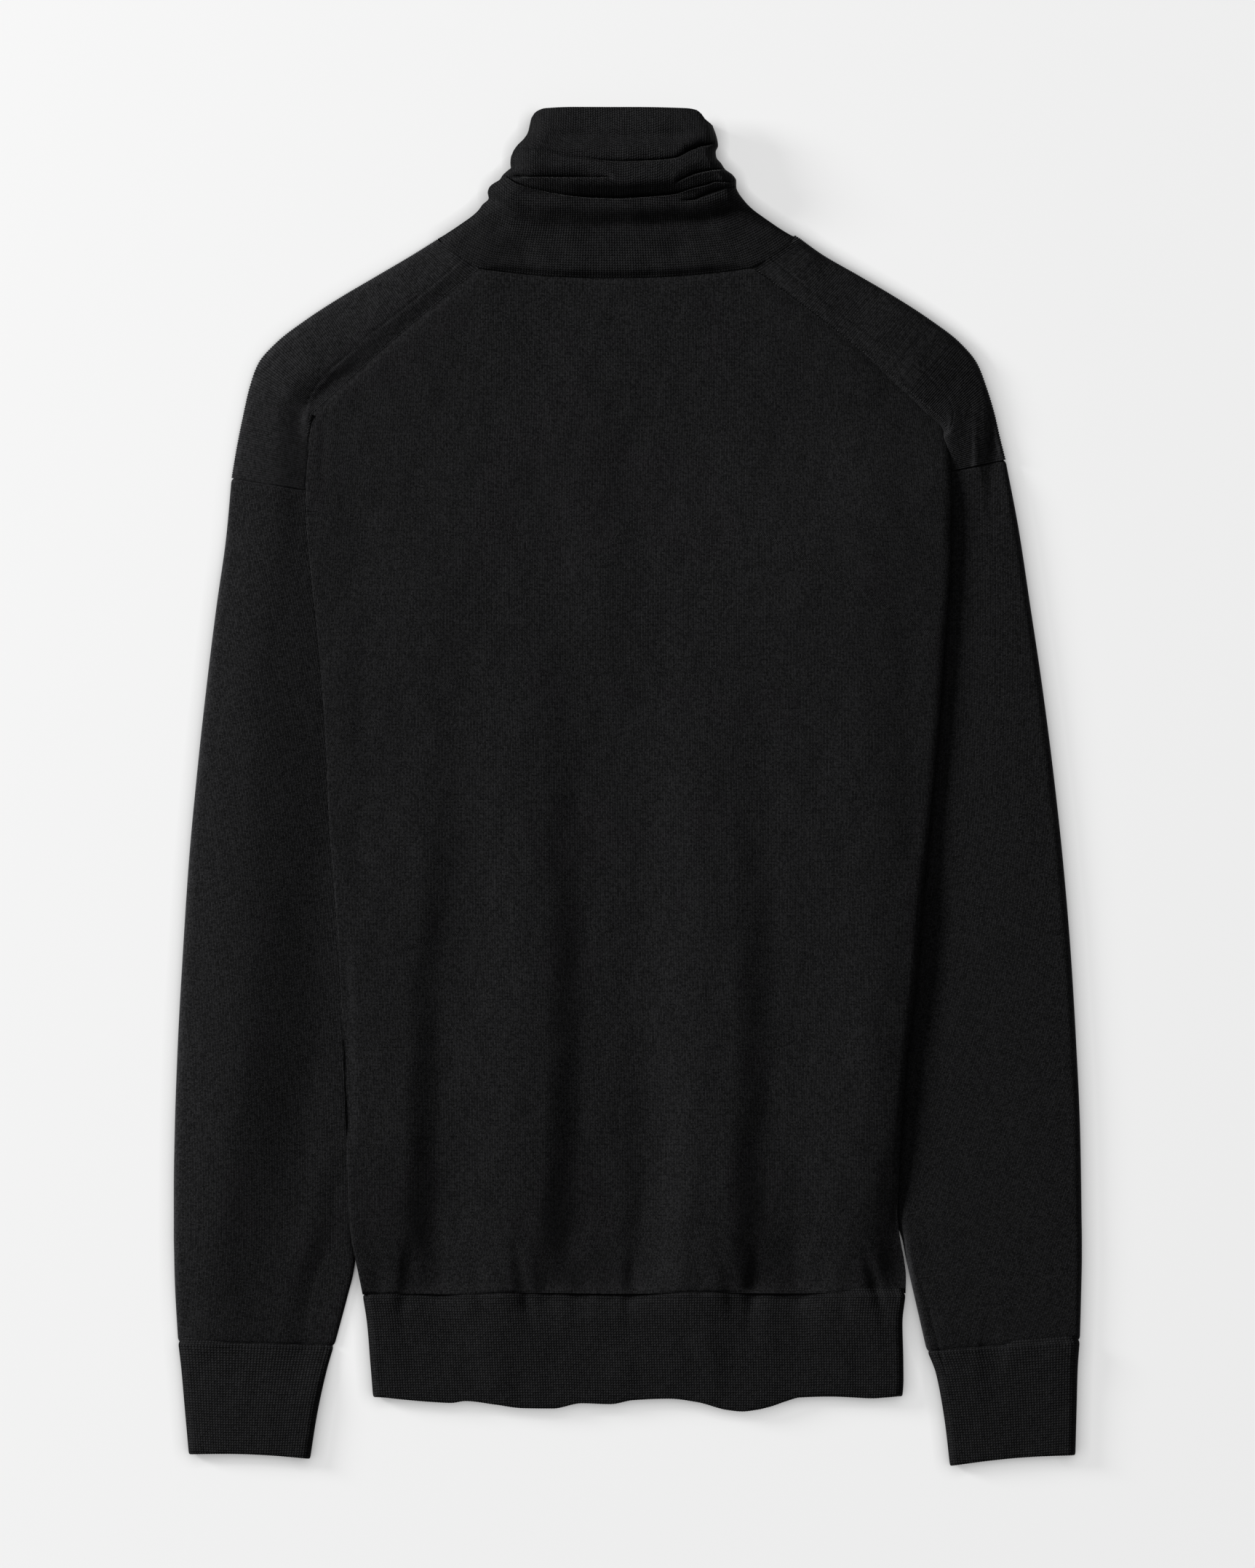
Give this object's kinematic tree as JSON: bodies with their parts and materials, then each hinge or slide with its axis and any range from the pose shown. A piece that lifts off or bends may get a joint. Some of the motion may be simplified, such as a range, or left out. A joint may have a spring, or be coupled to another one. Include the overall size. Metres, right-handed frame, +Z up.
{
  "type": "turtleneck sweater",
  "caption": "Fine-knit black turtleneck sweater laid flat with its back showing, sleeves straight down, with ribbed collar, cuffs and hem.",
  "frame": {"origin": "centre of the garment's outline, on the surface it lies on", "axes": "+X to the right, +Y from the hem towards the collar, +Z up from the surface"},
  "size_m": [0.5316, 0.794, 0.0251],
  "materials": {
    "jersey": "fine plain knit, matt black wool",
    "rib": "fine ribbed knit, matt black wool"
  },
  "bodies": {
    "root": {"back_panel": "jersey", "front_panel": "jersey", "saddle_left": "jersey", "saddle_right": "jersey", "sleeve_left": "jersey", "sleeve_right": "jersey", "cuff_left": "rib", "cuff_right": "rib", "hem_band": "rib", "collar": "rib"}
  },
  "joints": []
}
